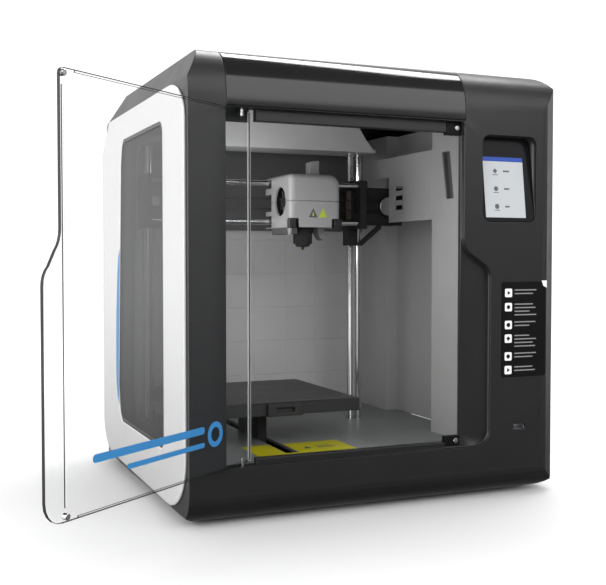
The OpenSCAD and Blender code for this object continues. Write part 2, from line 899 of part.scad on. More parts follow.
module nozzle_shroud() {
  color([0.06, 0.06, 0.06]) difference() {
    place(nozzle_x, nozzle_d, 240.5) cylinder(r1 = 7.5, r2 = 11.5, h = 21.5);
    rod_z(nozzle_x, nozzle_d, 240, 263, rod_r + 0.3);
  }
}

module fan_rotor(r, hub, bore, t, blades) {
  difference() {
    union() {
      cylinder(r = hub, h = t);
      for (i = [0:blades - 1]) rotate([0, 0, i * 360 / blades])
        translate([hub - 1, 0, t / 2]) rotate([35, 0, 0])
          translate([0, -0.6, -t / 2 + 0.9]) cube([r - hub, 1.2, t - 1.8]);
    }
    translate([0, 0, -1]) cylinder(r = bore, h = t + 2);
  }
}

module hotend_fan() {
  color([0.05, 0.05, 0.05]) place(-37.2, fan_d, fan_z) rotate([0, 90, 0])
    fan_rotor(13.5, 5, 1.5 + run_gap, 5.6, 7);
}

module nozzle_clip_left() {
  color([0.05, 0.05, 0.05]) span(-41, -33.5, head_front - 0.8, head_front + 6.5, 259.5, 269);
}

module nozzle_clip_right() {
  color([0.05, 0.05, 0.05]) span(9.5, 18, head_front - 0.8, head_front + 6.5, 259.5, 269);
}

// ---- bed ---------------------------------------------------------------------------------

module bed_frame() {
  color([0.08, 0.08, 0.08]) {
    difference() {
      span(bed_x - bed_w / 2, bed_x + bed_w / 2, bed_front, bed_front + bed_d,
           bed_top - 13, bed_top - 0.6);
      span(bed_x - bed_w / 2 + 2.5, bed_x + bed_w / 2 - 2.5, bed_front + 2.5,
           bed_front + bed_d - 2.5, bed_top - 3, bed_top);
    }
    span(bed_x - 15, bed_x + 21, bed_front - 4, bed_front, bed_top - 13.5, bed_top - 1);
    span(bed_x - slot_w / 2 + 1, bed_x + slot_w / 2 - 1, bed_mid_d - 30, bed_mid_d + 30,
         34, bed_top - 13);
    difference() {
      span(bed_rod_xs[0] - 8, bed_rod_xs[1] + 8, bed_mid_d - 30, bed_mid_d + 30, 14, 34);
      for (x = bed_rod_xs) rod_d(x, 0, 330, bed_rod_z, rod_r + run_gap);
    }
    span(bed_rod_xs[1] + 8, bed_belt_x1 + 0.5, bed_mid_d - 8, bed_mid_d + 8,
         bed_rod_z + belt_r + belt_t + 0.2, 34);
  }
}

module bed_plate() {
  color([0.2, 0.2, 0.21]) span(bed_x - bed_w / 2 + 3, bed_x + bed_w / 2 - 3, bed_front + 3,
    bed_front + bed_d - 3, bed_top - 3, bed_top);
}

// ---- front door --------------------------------------------------------------------------

// Moves what is drawn closed to where the open door stands
module open_door() {
  place(hinge_x, hinge_d, 0) rotate([0, 0, -door_open]) place(-hinge_x + 2 * origin_x,
    -hinge_d + 2 * origin_d, 0) children();
}

// Outline of the closed door in (x, z), inset by t
module door_outline(t) {
  x1 = door_right;
  offset(delta = -t) polygon(concat(
    [[door_left, door_bottom], [door_left, door_top]],
    arc(x1 - 4, door_top - 4, 4, 4, 90, 0, 3),
    arc(x1 + 11, tab_end + 6, 11, 17, 180, 235, 4),
    arc(x1 + tab_w - 13, tab_start - 4, 13, 16, 55, 0, 4),
    arc(x1 + tab_w - tab_corner, door_bottom + tab_corner, tab_corner, tab_corner, 0, -90, 5)
  ));
}

// Outline, in (x, z), of the raised rim round the door's main sheet, inset by t
module rim_outline(t) {
  offset(delta = -t) translate([door_left, door_bottom]) square([door_w, door_top - door_bottom]);
}

module front_door() {
  color([0.8, 0.85, 0.87, 0.3]) open_door() difference() {
    union() {
      along_d(door_front, door_back) door_outline(0);
      difference() {
        along_d(door_back, door_back + rim_t) rim_outline(rim_in);
        along_d(door_back - 1, door_back + rim_t + 1) rim_outline(rim_in + rim_w);
        span(59, 88, door_back, 8, door_bottom, door_bottom + 10.2);
        span(59, 88, door_back, 8, door_top - 11.8, door_top);
      }
      for (z = [door_bottom, door_top - knuckle_h])
        rod_z(hinge_x, hinge_d, z, z + knuckle_h, knuckle_r);
    }
    for (z = [door_bottom - 1, door_top - 6])
      rod_z(hinge_x, hinge_d, z, z + 7, hinge_pin_r + 0.01);
    for (z = [door_bottom + magnet_in, door_top - magnet_in])
      rod_d(door_right - magnet_in, 0, 8, z, magnet_r + 0.02);
  }
}

module door_hinge_pins() {
  color([0.75, 0.75, 0.77]) {
    rod_z(hinge_x, hinge_d, step_bottom - pin_length, door_bottom + 5.9, hinge_pin_r);
    rod_z(hinge_x, hinge_d, door_top - 5.9, step_top + pin_length, hinge_pin_r);
  }
}

module door_magnets() {
  color([0.7, 0.7, 0.72]) open_door() for (z = [door_bottom + magnet_in, door_top - magnet_in])
    rod_d(door_right - magnet_in, door_front - 0.5, door_back + 0.8, z, magnet_r);
}

// ---- filament feed, electronics, fan ------------------------------------------------------

module spool_spindle() {
  color([0.3, 0.3, 0.3]) {
    rod_x(alcove_x + liner_t + run_gap, alcove_x + liner_t + 2.5, hub_d, hub_z, 14);
    rod_x(alcove_x + liner_t + 2.5, 185, hub_d, hub_z, spindle_r);
  }
}

module spool_hub() {
  color([0.12, 0.12, 0.12]) difference() {
    union() {
      rod_x(151, 184, hub_d, hub_z, hub_r);
      rod_x(151, 153.5, hub_d, hub_z, hub_r + 6);
    }
    rod_x(150, 186, hub_d, hub_z, spindle_r + run_gap);
    for (a = [0:60:300])
      rod_x(156, 186, hub_d + 16 * cos(a), hub_z + 16 * sin(a), 5);
  }
}

module feed_motor() {
  color([0.1, 0.1, 0.1]) difference() {
    span(152, 185, feed_d - 17.5, feed_d + 17.5, feed_z - 17.5, feed_z + 17.5);
    rod_x(151, 158, feed_d, feed_z, 2.5 + run_gap);
  }
}

module feed_gear() {
  color([0.72, 0.6, 0.35]) {
    difference() {
      rod_x(142, 149, feed_d, feed_z, 6);
      for (a = [0:20:340])
        rod_x(141, 150, feed_d + 6.4 * cos(a), feed_z + 6.4 * sin(a), 0.8);
    }
    rod_x(149, 157, feed_d, feed_z, 2.5);
  }
}

module mainboard() {
  color([0.1, 0.3, 0.16]) {
    span(113, 184, 34, 35.6, 90, 230);
    span(120, 140, 35.6, 42, 100, 120);
    span(150, 175, 35.6, 45, 180, 190);
    span(130, 145, 35.6, 38, 150, 165);
  }
}

module power_supply() {
  color([0.55, 0.56, 0.57]) span(92, 174, 90, 200, 13, 41);
}

module rear_fan_frame() {
  w = rear_fan_w / 2;
  color([0.08, 0.08, 0.08]) {
    difference() {
      span(rear_fan_x - w, rear_fan_x + w, 318, 333, rear_fan_z - w, rear_fan_z + w);
      rod_d(rear_fan_x, 317, 334, rear_fan_z, rear_fan_r + 1);
    }
    for (a = [0, 90]) place(rear_fan_x, 331.6, rear_fan_z) rotate([0, a, 0])
      translate([-w + 1, -1.4, -1.5]) cube([2 * w - 2, 2.8, 3]);
    rod_d(rear_fan_x, 320, 331, rear_fan_z, 2);
  }
}

module rear_fan() {
  color([0.06, 0.06, 0.06]) place(rear_fan_x, 329.5, rear_fan_z) rotate([90, 0, 0])
    fan_rotor(rear_fan_r - 0.5, 8, 2 + run_gap, 9, 7);
}

module panel_screws() {
  color([0.6, 0.6, 0.62]) for (x = [-165, 165], z = [110, 330]) {
    rod_d(x, 332.5, 337, z, 1.65);
    rod_d(x, 337, 338.5, z, 3.2);
  }
}

base_pan();
feet();
front_bezel();
roof_rails();
top_lid();
rear_panel();
left_side_panel();
left_window_frame();
left_window();
right_side_panel();
chamber_floor();
back_liner();
upper_back_panel();
left_liner();
right_liner();
crossbeam();
side_guard();
chamber_light();
door_catches();
touchscreen();
usb_port();
power_inlet();
guide_rods();
lift_motors();
bed_motor();
bed_belt();
mainboard();
power_supply();
feed_motor();
rear_fan_frame();
spool_spindle();
front_door();
door_hinge_pins();
door_magnets();
left_lead_screw();
right_lead_screw();
gantry_bracket_left();
gantry_bracket_right();
carriage_rods();
carriage_motor();
carriage_belt();
carriage_idler();
carriage_pulley();
carriage_housing();
carriage_slider();
hotend();
nozzle_shroud();
hotend_fan();
nozzle_clip_left();
nozzle_clip_right();
bed_frame();
bed_plate();
bed_pulley();
filament_cover();
feed_gear();
rear_fan();
power_switch();
spool_hub();
lead_nuts();
panel_screws();
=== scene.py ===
"""Looks of the enclosed desktop filament printer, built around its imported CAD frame."""
import json
import math
from collections import namedtuple

import bmesh
import bpy
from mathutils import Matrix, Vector


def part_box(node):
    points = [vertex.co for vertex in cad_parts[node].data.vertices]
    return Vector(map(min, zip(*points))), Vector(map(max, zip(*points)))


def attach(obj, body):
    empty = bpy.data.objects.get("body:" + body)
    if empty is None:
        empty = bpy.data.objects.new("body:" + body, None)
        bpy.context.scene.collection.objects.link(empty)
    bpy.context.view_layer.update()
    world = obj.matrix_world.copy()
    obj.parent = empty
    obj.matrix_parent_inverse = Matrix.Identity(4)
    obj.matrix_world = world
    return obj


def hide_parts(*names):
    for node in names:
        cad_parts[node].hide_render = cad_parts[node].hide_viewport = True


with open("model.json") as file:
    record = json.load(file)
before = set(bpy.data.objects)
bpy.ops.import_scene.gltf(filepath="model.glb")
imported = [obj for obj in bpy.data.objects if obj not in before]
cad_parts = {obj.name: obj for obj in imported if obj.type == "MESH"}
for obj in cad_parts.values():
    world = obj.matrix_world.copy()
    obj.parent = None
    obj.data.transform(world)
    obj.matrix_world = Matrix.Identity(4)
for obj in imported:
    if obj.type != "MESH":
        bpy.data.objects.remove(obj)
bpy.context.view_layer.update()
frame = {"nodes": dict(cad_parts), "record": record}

# ---- places ------------------------------------------------------------------------------------
# A place is (x from the middle of the body, d = depth behind the front face, z above the table),
# in millimetres, as in the CAD source. The front part of the shell says where that grid lies.

MM = 0.001
bezel_low, bezel_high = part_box("front_bezel")
MID_X = (bezel_low.x + bezel_high.x) / 2
FRONT_Y = bezel_low.y


def at(x, d, z):
    return Vector((MID_X + x * MM, FRONT_Y + d * MM, z * MM))


Limits = namedtuple("Limits", "x0 x1 d0 d1 z0 z1")


def limits(node):
    """A CAD node's box on the millimetre grid."""
    low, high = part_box(node)
    x0, d0, z0 = (low - at(0, 0, 0)) / MM
    x1, d1, z1 = (high - at(0, 0, 0)) / MM
    return Limits(x0, x1, d0, d1, z0, z1)


# ---- materials ---------------------------------------------------------------------------------

MATERIALS = {}


DRIFT_SCALE = 38.0
COAT_ROUGHNESS = 0.06
GRAIN_DEPTH = 0.0003
BRUSH_DEPTH = 0.0001
BRUSH_STRENGTH = 0.12


def material(name, color, roughness, metallic=0.0, grain=0.0, grain_size=0.5, mottle=0.06,
             smudge=0.08, alpha=1.0, coat=0.0, glow=0.0, specular=0.5):
    """A moulded, painted or metal surface.

    Tint and gloss drift slowly, by mottle and smudge. Grain is the strength of a fine bump, whose
    size is in millimetres.
    """
    made = bpy.data.materials.new(name)
    made.use_nodes = True
    tree = made.node_tree
    nodes, link = tree.nodes, tree.links.new
    shader = nodes["Principled BSDF"]
    shader.inputs["Base Color"].default_value = (*color, 1.0)
    shader.inputs["Metallic"].default_value = metallic
    shader.inputs["Roughness"].default_value = roughness
    shader.inputs["Specular IOR Level"].default_value = specular
    shader.inputs["Coat Weight"].default_value = coat
    shader.inputs["Coat Roughness"].default_value = COAT_ROUGHNESS
    shader.inputs["Alpha"].default_value = alpha
    if glow:
        shader.inputs["Emission Color"].default_value = (*color, 1.0)
        shader.inputs["Emission Strength"].default_value = glow
    place = nodes.new("ShaderNodeTexCoord")
    drift = nodes.new("ShaderNodeTexNoise")
    drift.inputs["Scale"].default_value = DRIFT_SCALE
    drift.inputs["Detail"].default_value = 5.0
    link(place.outputs["Object"], drift.inputs["Vector"])
    tint = nodes.new("ShaderNodeMix")
    tint.data_type = "RGBA"
    tint.inputs["A"].default_value = (*(c * (1 - mottle) for c in color), 1.0)
    tint.inputs["B"].default_value = (*(min(c * (1 + mottle), 1.0) for c in color), 1.0)
    link(drift.outputs["Fac"], tint.inputs["Factor"])
    link(tint.outputs["Result"], shader.inputs["Base Color"])
    gloss = nodes.new("ShaderNodeMapRange")
    gloss.inputs["To Min"].default_value = max(roughness - smudge, 0.02)
    gloss.inputs["To Max"].default_value = min(roughness + smudge, 1.0)
    link(drift.outputs["Fac"], gloss.inputs["Value"])
    link(gloss.outputs["Result"], shader.inputs["Roughness"])
    if grain:
        fine = nodes.new("ShaderNodeTexNoise")
        fine.inputs["Scale"].default_value = 1000.0 / grain_size
        fine.inputs["Detail"].default_value = 2.0
        link(place.outputs["Object"], fine.inputs["Vector"])
        bump = nodes.new("ShaderNodeBump")
        bump.inputs["Strength"].default_value = grain
        bump.inputs["Distance"].default_value = GRAIN_DEPTH
        link(fine.outputs["Fac"], bump.inputs["Height"])
        link(bump.outputs["Normal"], shader.inputs["Normal"])
    MATERIALS[name] = made
    return made


def brushed(name, color, roughness, along=(1.0, 1.0, 0.02), lines=1400.0):
    """Ground or drawn metal, with its fine lines running along one axis."""
    made = material(name, color, roughness, metallic=1.0, mottle=0.04)
    tree = made.node_tree
    nodes, link = tree.nodes, tree.links.new
    stretch = nodes.new("ShaderNodeMapping")
    stretch.inputs["Scale"].default_value = along
    link(nodes["Texture Coordinate"].outputs["Object"], stretch.inputs["Vector"])
    scratch = nodes.new("ShaderNodeTexNoise")
    scratch.inputs["Scale"].default_value = lines
    link(stretch.outputs["Vector"], scratch.inputs["Vector"])
    bump = nodes.new("ShaderNodeBump")
    bump.inputs["Strength"].default_value = BRUSH_STRENGTH
    bump.inputs["Distance"].default_value = BRUSH_DEPTH
    link(scratch.outputs["Fac"], bump.inputs["Height"])
    link(bump.outputs["Normal"], nodes["Principled BSDF"].inputs["Normal"])
    return made


material("black_satin", (0.011, 0.011, 0.0115), 0.38, grain=0.10, grain_size=0.45, specular=0.38)
material("black_gloss", (0.010, 0.010, 0.0105), 0.12, mottle=0.03, smudge=0.03, coat=0.12,
         specular=0.36)
material("black_matte", (0.014, 0.014, 0.015), 0.58, grain=0.25, grain_size=0.5)
material("black_trim", (0.012, 0.012, 0.012), 0.30, smudge=0.05)
material("rubber", (0.012, 0.012, 0.012), 0.85, grain=0.4, grain_size=0.6)
material("white_gloss", (0.54, 0.54, 0.54), 0.22, mottle=0.01, smudge=0.04, coat=0.3)
material("liner_grey", (0.40, 0.40, 0.40), 0.45, grain=0.12, grain_size=0.6)
material("tile_grey", (0.52, 0.52, 0.52), 0.45, grain=0.12, grain_size=0.6)
material("pillar_grey", (0.37, 0.37, 0.37), 0.45, grain=0.12, grain_size=0.6)
material("floor_grey", (0.17, 0.18, 0.18), 0.35, grain=0.08, grain_size=0.8)
material("back_grey", (0.10, 0.10, 0.10), 0.5, grain=0.12, grain_size=0.5)
material("head_grey", (0.22, 0.22, 0.22), 0.40, grain=0.12, grain_size=0.4)
material("duct_grey", (0.13, 0.13, 0.13), 0.45, grain=0.12, grain_size=0.4)
material("lamp_lens", (0.10, 0.10, 0.10), 0.30)
material("clear_sheet", (0.05, 0.055, 0.06), 0.03, mottle=0.0, smudge=0.01, alpha=0.05,
         coat=1.0, specular=1.0)
# painted shade: the door's sawn edges are coloured near-black for the dark look of clear edges in
# this light
material("sawn_edge_shade", (0.004, 0.005, 0.005), 0.45, mottle=0.0, smudge=0.02, alpha=0.96,
         specular=0.1)
# painted highlight: near-white on the door's edge by the hinge, for the glint along that edge
material("hinge_edge_glint", (0.80, 0.81, 0.82), 0.25, mottle=0.0, smudge=0.02, alpha=0.55)
material("smoked_sheet", (0.03, 0.03, 0.03), 0.06, mottle=0.0, smudge=0.02, alpha=0.62,
         specular=0.15)
material("screen_glass", (0.005, 0.005, 0.006), 0.22, mottle=0.0, smudge=0.02, specular=0.08)
material("screen_page", (0.30, 0.31, 0.32), 0.35, mottle=0.02, glow=0.30, specular=0.2)
material("screen_blue", (0.018, 0.05, 0.24), 0.35, mottle=0.02, glow=0.15, specular=0.15)
material("screen_ink", (0.06, 0.06, 0.07), 0.4, mottle=0.02)
material("motor_black", (0.010, 0.010, 0.010), 0.42, grain=0.10, grain_size=0.4)
material("belt", (0.012, 0.012, 0.012), 0.70, grain=0.5, grain_size=0.9)
material("circuit_board", (0.01, 0.10, 0.035), 0.35, mottle=0.12)
material("sheet_steel", (0.34, 0.35, 0.36), 0.35, metallic=0.8, mottle=0.08)
material("grey_plastic", (0.06, 0.06, 0.06), 0.5, grain=0.15, grain_size=0.5)
material("bed_coating", (0.045, 0.043, 0.045), 0.55, grain=0.5, grain_size=0.7)
material("label_yellow", (0.42, 0.385, 0.004), 0.45, mottle=0.04)
material("deep_black", (0.005, 0.005, 0.005), 0.35, mottle=0.02, specular=0.10)
material("label_white", (0.62, 0.62, 0.62), 0.40, mottle=0.03)
material("nut_bronze", (0.10, 0.08, 0.055), 0.5, metallic=0.4, mottle=0.08)
material("label_grey", (0.17, 0.17, 0.17), 0.45, mottle=0.05)
material("print_blue", (0.020, 0.17, 0.40), 0.35, mottle=0.04)
material("triangle_green", (0.30, 0.40, 0.02), 0.40, mottle=0.05)
brushed("steel", (0.72, 0.72, 0.74), 0.16)
brushed("steel_x", (0.80, 0.80, 0.82), 0.26, along=(0.02, 1.0, 1.0))
brushed("cut_steel", (0.58, 0.58, 0.60), 0.30, along=(1.0, 1.0, 1.0), lines=700.0)
brushed("brass", (0.62, 0.44, 0.17), 0.28, along=(1.0, 1.0, 0.05), lines=900.0)


# ---- mesh building -------------------------------------------------------------------------------

AXES = {
    "x": lambda u, v, w: at(w, u, v),
    "d": lambda u, v, w: at(u, w, v),
    "z": lambda u, v, w: at(u, v, w),
}


def arc(cx, cy, r, start, end, n=6):
    turn = math.radians(end - start) / n
    first = math.radians(start)
    return [(cx + r * math.cos(first + turn * i), cy + r * math.sin(first + turn * i))
            for i in range(n + 1)]


def rounded(x0, x1, y0, y1, r, n=5):
    """The outline of a rectangle with round corners."""
    return (arc(x0 + r, y0 + r, r, 180, 270, n) + arc(x1 - r, y0 + r, r, 270, 360, n)
            + arc(x1 - r, y1 - r, r, 0, 90, n) + arc(x0 + r, y1 - r, r, 90, 180, n))


def disc(cx, cy, r, n=32):
    return arc(cx, cy, r, 0, 360 - 360 / n, n - 1)


def rectangle(x0, x1, y0, y1):
    return [(x0, y0), (x1, y0), (x1, y1), (x0, y1)]


def prism(bm, outline, axis, low, high):
    """Adds a closed prism: an outline across an axis, pushed along it from low to high."""
    ends = [[bm.verts.new(AXES[axis](u, v, w)) for u, v in outline] for w in (low, high)]
    sides = [bm.faces.new(ends[0]), bm.faces.new(ends[1][::-1])]
    n = len(outline)
    for i in range(n):
        j = (i + 1) % n
        sides.append(bm.faces.new((ends[0][i], ends[1][i], ends[1][j], ends[0][j])))
    bmesh.ops.recalc_face_normals(bm, faces=sides)
    return sides


def ring(bm, outer, inner, axis, low, high):
    """Adds a closed ring between two outlines with as many points each."""
    loops = [[bm.verts.new(AXES[axis](u, v, w)) for u, v in outline]
             for outline, w in ((outer, low), (outer, high), (inner, high), (inner, low))]
    faces = []
    for one, two in zip(loops, loops[1:] + loops[:1]):
        for i in range(len(one)):
            j = (i + 1) % len(one)
            faces.append(bm.faces.new((one[i], one[j], two[j], two[i])))
    bmesh.ops.recalc_face_normals(bm, faces=faces)


def block(bm, x0, x1, d0, d1, z0, z1):
    return prism(bm, rectangle(x0, x1, d0, d1), "z", z0, z1)


def lathe(bm, profile, centre, axis, n=40):
    """Adds a closed turned shape; profile is (radius, place along the axis) from end to end."""
    u, v = centre
    loops = []
    for r, w in profile:
        loops.append([bm.verts.new(AXES[axis](u + r * math.cos(a), v + r * math.sin(a), w))
                      for a in (2 * math.pi * i / n for i in range(n))])
    faces = [bm.faces.new(loops[0]), bm.faces.new(loops[-1][::-1])]
    for low, high in zip(loops, loops[1:]):
        for i in range(n):
            j = (i + 1) % n
            faces.append(bm.faces.new((low[i], high[i], high[j], low[j])))
    bmesh.ops.recalc_face_normals(bm, faces=faces)
    return faces


def link_mesh(name, mesh):
    made = bpy.data.objects.new(name, mesh)
    bpy.context.scene.collection.objects.link(made)
    return made


def solid(name, bm):
    mesh = bpy.data.meshes.new(name)
    bm.to_mesh(mesh)
    bm.free()
    return link_mesh(name, mesh)


def applied(obj):
    """The object's mesh with its modifiers applied, as a new mesh in its place."""
    graph = bpy.context.evaluated_depsgraph_get()
    mesh = bpy.data.meshes.new_from_object(obj.evaluated_get(graph), depsgraph=graph)
    obj.modifiers.clear()
    obj.data = mesh
    return obj


def combine(obj, others, operation):
    """Exact union with, or difference of, other objects, which are used up."""
    for other in others:
        change = obj.modifiers.new("combine", "BOOLEAN")
        change.operation = operation
        change.solver = "EXACT"
        change.object = other
    applied(obj)
    for other in others:
        bpy.data.objects.remove(other)
    return obj


def corner(face, vert):
    """The angle that a face takes up at one of its corners."""
    return next(loop for loop in face.loops if loop.vert is vert).calc_angle()


FLAT_ANGLE = 0.08
STRAIGHT_ANGLE = 179.9
CONVEX_SLACK = 0.001
DOUBLE_POINTS = 0.00001
TINY_EDGE = 0.000002


def join_flat(bm):
    """Joins neighbouring faces of one plane, as long as each joined face stays convex."""
    limit = math.cos(math.radians(FLAT_ANGLE))
    for edge in list(bm.edges):
        if not edge.is_valid or len(edge.link_faces) != 2:
            continue
        a, b = edge.link_faces
        if a is b or a.normal.dot(b.normal) < limit:
            continue
        if len(set(a.verts) & set(b.verts)) != 2:
            continue
        if all(corner(a, vert) + corner(b, vert) < math.pi + CONVEX_SLACK for vert in edge.verts):
            joined = bmesh.utils.face_join((a, b))
            if joined:
                joined.normal_update()


def drop_straight_points(bm):
    """Removes points that only divide a straight edge."""
    for vert in list(bm.verts):
        if not vert.is_valid or len(vert.link_edges) != 2 or len(vert.link_faces) != 2:
            continue
        if min(len(face.verts) for face in vert.link_faces) < 4:
            continue
        one, two = (edge.other_vert(vert).co - vert.co for edge in vert.link_edges)
        if one.length > 0 and two.length > 0 and one.angle(two) > math.radians(STRAIGHT_ANGLE):
            bmesh.utils.vert_dissolve(vert)


def tidy(obj):
    """Merges doubled points and turns flat triangles back into whole faces."""
    bm = bmesh.new()
    bm.from_mesh(obj.data)
    bmesh.ops.remove_doubles(bm, verts=bm.verts, dist=DOUBLE_POINTS)
    bmesh.ops.dissolve_degenerate(bm, edges=bm.edges, dist=TINY_EDGE)
    bmesh.ops.recalc_face_normals(bm, faces=bm.faces)
    join_flat(bm)
    drop_straight_points(bm)
    bm.to_mesh(obj.data)
    bm.free()
    return obj


SHARP_ANGLE = 32


def weigh_outer_edges(mesh):
    """Marks the sharp edges that stand out, and leaves the inner corners alone."""
    bm = bmesh.new()
    bm.from_mesh(mesh)
    weight = bm.edges.layers.float.new("bevel_weight_edge")
    for edge in bm.edges:
        stands_out = edge.calc_face_angle_signed(0.0) > math.radians(SHARP_ANGLE)
        edge[weight] = 1.0 if stands_out else 0.0
    bm.to_mesh(mesh)
    bm.free()


def finish_edges(obj, width, segments=2, outer_only=False):
    """Rounds the sharp edges and shades the rest as one smooth surface."""
    for face in obj.data.polygons:
        face.use_smooth = True
    if outer_only:
        weigh_outer_edges(obj.data)
    if width:
        rounding = obj.modifiers.new("rounding", "BEVEL")
        rounding.width = width * MM
        rounding.segments = segments
        rounding.limit_method = "WEIGHT" if outer_only else "ANGLE"
        rounding.angle_limit = math.radians(SHARP_ANGLE)
        rounding.use_clamp_overlap = False
        rounding.miter_outer = "MITER_ARC"
    weight = obj.modifiers.new("normals", "WEIGHTED_NORMAL")
    weight.keep_sharp = True
    return obj


def dress(obj, name, body="root", replaces=()):
    """Gives a piece its material and the body that it rides on."""
    obj.data.materials.clear()
    obj.data.materials.append(MATERIALS[name])
    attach(obj, body)
    if replaces:
        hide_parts(*replaces)
    return obj


RECORD = frame["record"]
BODY_OF = {node: body for body, nodes in RECORD["behaviour"]["bodies"].items() for node in nodes}


def raw_copy(node, name):
    """A copy of a CAD node's mesh, as a new object."""
    return link_mesh(name, frame["nodes"][node].data.copy())


def copy_of(node, name):
    return tidy(raw_copy(node, name))


def refine(node, look, width=0.4, segments=2):
    """Stands a softened copy of a CAD node, with its own material, in the node's place."""
    obj = finish_edges(copy_of(node, node + "_shown"), width, segments)
    return dress(obj, look, BODY_OF[node], [node])


def detail(name, bm, look, body="root", width=0.3, segments=2, replaces=()):
    """A new piece made from a bmesh."""
    obj = solid(name, bm)
    finish_edges(obj, width, segments)
    return dress(obj, look, body, replaces)


# ---- camera --------------------------------------------------------------------------------------

CAMERA_AT = (-416.1, -770.4, 227.6)
CAMERA_DOWN = 1.971
CAMERA_RIGHT = 23.11
FIELD_WIDTH = 34.71


def add_camera():
    data = bpy.data.cameras.new("camera")
    data.lens_unit = "FOV"
    data.angle = math.radians(FIELD_WIDTH)
    data.clip_start = 0.01
    data.clip_end = 50.0
    camera = bpy.data.objects.new("camera", data)
    camera.location = at(*CAMERA_AT)
    camera.rotation_euler = (math.radians(90 - CAMERA_DOWN), 0.0, math.radians(-CAMERA_RIGHT))
    bpy.context.scene.collection.objects.link(camera)
    bpy.context.scene.camera = camera


# ---- shell ---------------------------------------------------------------------------------------

SEAM = 0.1


def add_shell():
    """The black shell shows as one moulding; the glossy lid and the rear cover have seams.

    The rails stop a hair behind the front part, so their front ends are moved up to it first.
    """
    shell = raw_copy("front_bezel", "black_shell")
    rails = raw_copy("roof_rails", "rails")
    bezel_rear = max(vert.co.y for vert in shell.data.vertices)
    for vert in rails.data.vertices:
        if vert.co.y < bezel_rear + SEAM * MM:
            vert.co.y = bezel_rear
    combine(shell, [rails, raw_copy("base_pan", "pan")], "UNION")
    tidy(shell)
    finish_edges(shell, 0.7, 3, outer_only=True)
    dress(shell, "black_satin", "root", ["front_bezel", "roof_rails", "base_pan"])
    refine("top_lid", "black_gloss", 0.6, 3)
    refine("rear_panel", "black_matte", 0.5)
    refine("feet", "rubber", 0.8, 3)
    refine("left_side_panel", "white_gloss", 1.2, 4)
    refine("right_side_panel", "white_gloss", 0.8, 3)
    refine("filament_cover", "white_gloss", 0.5)
    refine("left_window_frame", "black_trim", 0.6)
    refine("left_window", "smoked_sheet", 0.3)


# ---- chamber -------------------------------------------------------------------------------------

def add_chamber():
    refine("chamber_floor", "floor_grey", 0.3)
    refine("back_liner", "tile_grey", 0.25)
    refine("upper_back_panel", "back_grey", 0.4)
    refine("left_liner", "liner_grey", 0.3)
    refine("right_liner", "pillar_grey", 0.5)
    refine("crossbeam", "liner_grey", 0.4)
    refine("side_guard", "pillar_grey", 0.35)
    refine("chamber_light", "lamp_lens", 0.2)
    refine("door_catches", "deep_black", 0.5)
    refine("touchscreen", "screen_glass", 0.3)
    refine("usb_port", "cut_steel", 0.15)
    refine("power_inlet", "black_matte", 0.5)
    refine("power_switch", "black_trim", 0.3)
    refine("rear_fan_frame", "black_matte", 0.5)
    refine("rear_fan", "black_trim", 0.2)
    refine("panel_screws", "cut_steel", 0.4)


def add_hinge_lintel():
    """The dark strip over the opening runs on behind the door's upper hinge."""
    bm = bmesh.new()
    x0, x1 = -156.8, -127.8
    d0, d1 = 24.5, 27.5
    z0, z1 = 346.0, 372.0
    block(bm, x0, x1, d0, d1, z0, z1)
    detail("hinge_lintel", bm, "black_satin", width=0.3)


def add_catch_magnets():
    """A small bright magnet shows on the face of each door catch."""
    catches = limits("door_catches")
    x, front = catches.x1 - 4.2, catches.d0
    bm = bmesh.new()
    for z in (catches.z1 - 5.0, catches.z0 + 4.6):
        lathe(bm, [(2.4, front + 0.4), (2.4, front - 0.25), (2.0, front - 0.5)], (x, z), "d", 24)
    detail("catch_magnets", bm, "cut_steel", width=0)


def add_floor_label():
    """A yellow sticker on the floor, cut around the bed's slot."""
    z = limits("chamber_floor").z1
    left, right, front, rear = -106, -5, 50, 109
    slot_left, slot_right, slot_front = -77, -63, 65
    outline = [(left, front), (right, front), (right, rear), (slot_right, rear),
               (slot_right, slot_front), (slot_left, slot_front), (slot_left, rear), (left, rear)]
    bm = bmesh.new()
    prism(bm, outline, "z", z - 0.05, z + 0.2)
    detail("floor_label", bm, "label_yellow", width=0)
    marks = bmesh.new()
    prism(marks, [(-52, 78), (-44, 78), (-48, 88)], "z", z + 0.1, z + 0.28)
    for k in range(3):
        block(marks, -38, -22 + 5 * (k % 2), 78 + 4 * k, 79.6 + 4 * k, z + 0.1, z + 0.28)
    detail("floor_label_marks", marks, "screen_ink", width=0)


# ---- moving parts --------------------------------------------------------------------------------

def add_lead_screw(node):
    """A four-start lead screw: the thread is a ridge that climbs 8 mm in a turn."""
    screw = limits(node)
    cx, cd = (screw.x0 + screw.x1) / 2, (screw.d0 + screw.d1) / 2
    radius = (screw.x1 - screw.x0) / 2
    lead, starts, depth = 8.0, 4, 0.55
    step, around = 0.5, 20
    bm = bmesh.new()
    loops = []
    for k in range(int((screw.z1 - screw.z0 - 2 * step) / step) + 1):
        z = screw.z0 + step + k * step
        loop = []
        for i in range(around):
            a = 2 * math.pi * i / around
            wave = ((z / lead - i / around) * starts) % 1.0
            r = radius - depth * min(1.0, max(0.0, 2.0 - abs(wave - 0.5) * 6.0))
            loop.append(bm.verts.new(at(cx + r * math.cos(a), cd + r * math.sin(a), z)))
        loops.append(loop)
    for low, high in zip(loops, loops[1:]):
        for i in range(around):
            j = (i + 1) % around
            bm.faces.new((low[i], low[j], high[j], high[i]))
    bm.faces.new(loops[0][::-1])
    bm.faces.new(loops[-1])
    obj = solid(node + "_shown", bm)
    finish_edges(obj, 0)
    dress(obj, "steel", BODY_OF[node], [node])


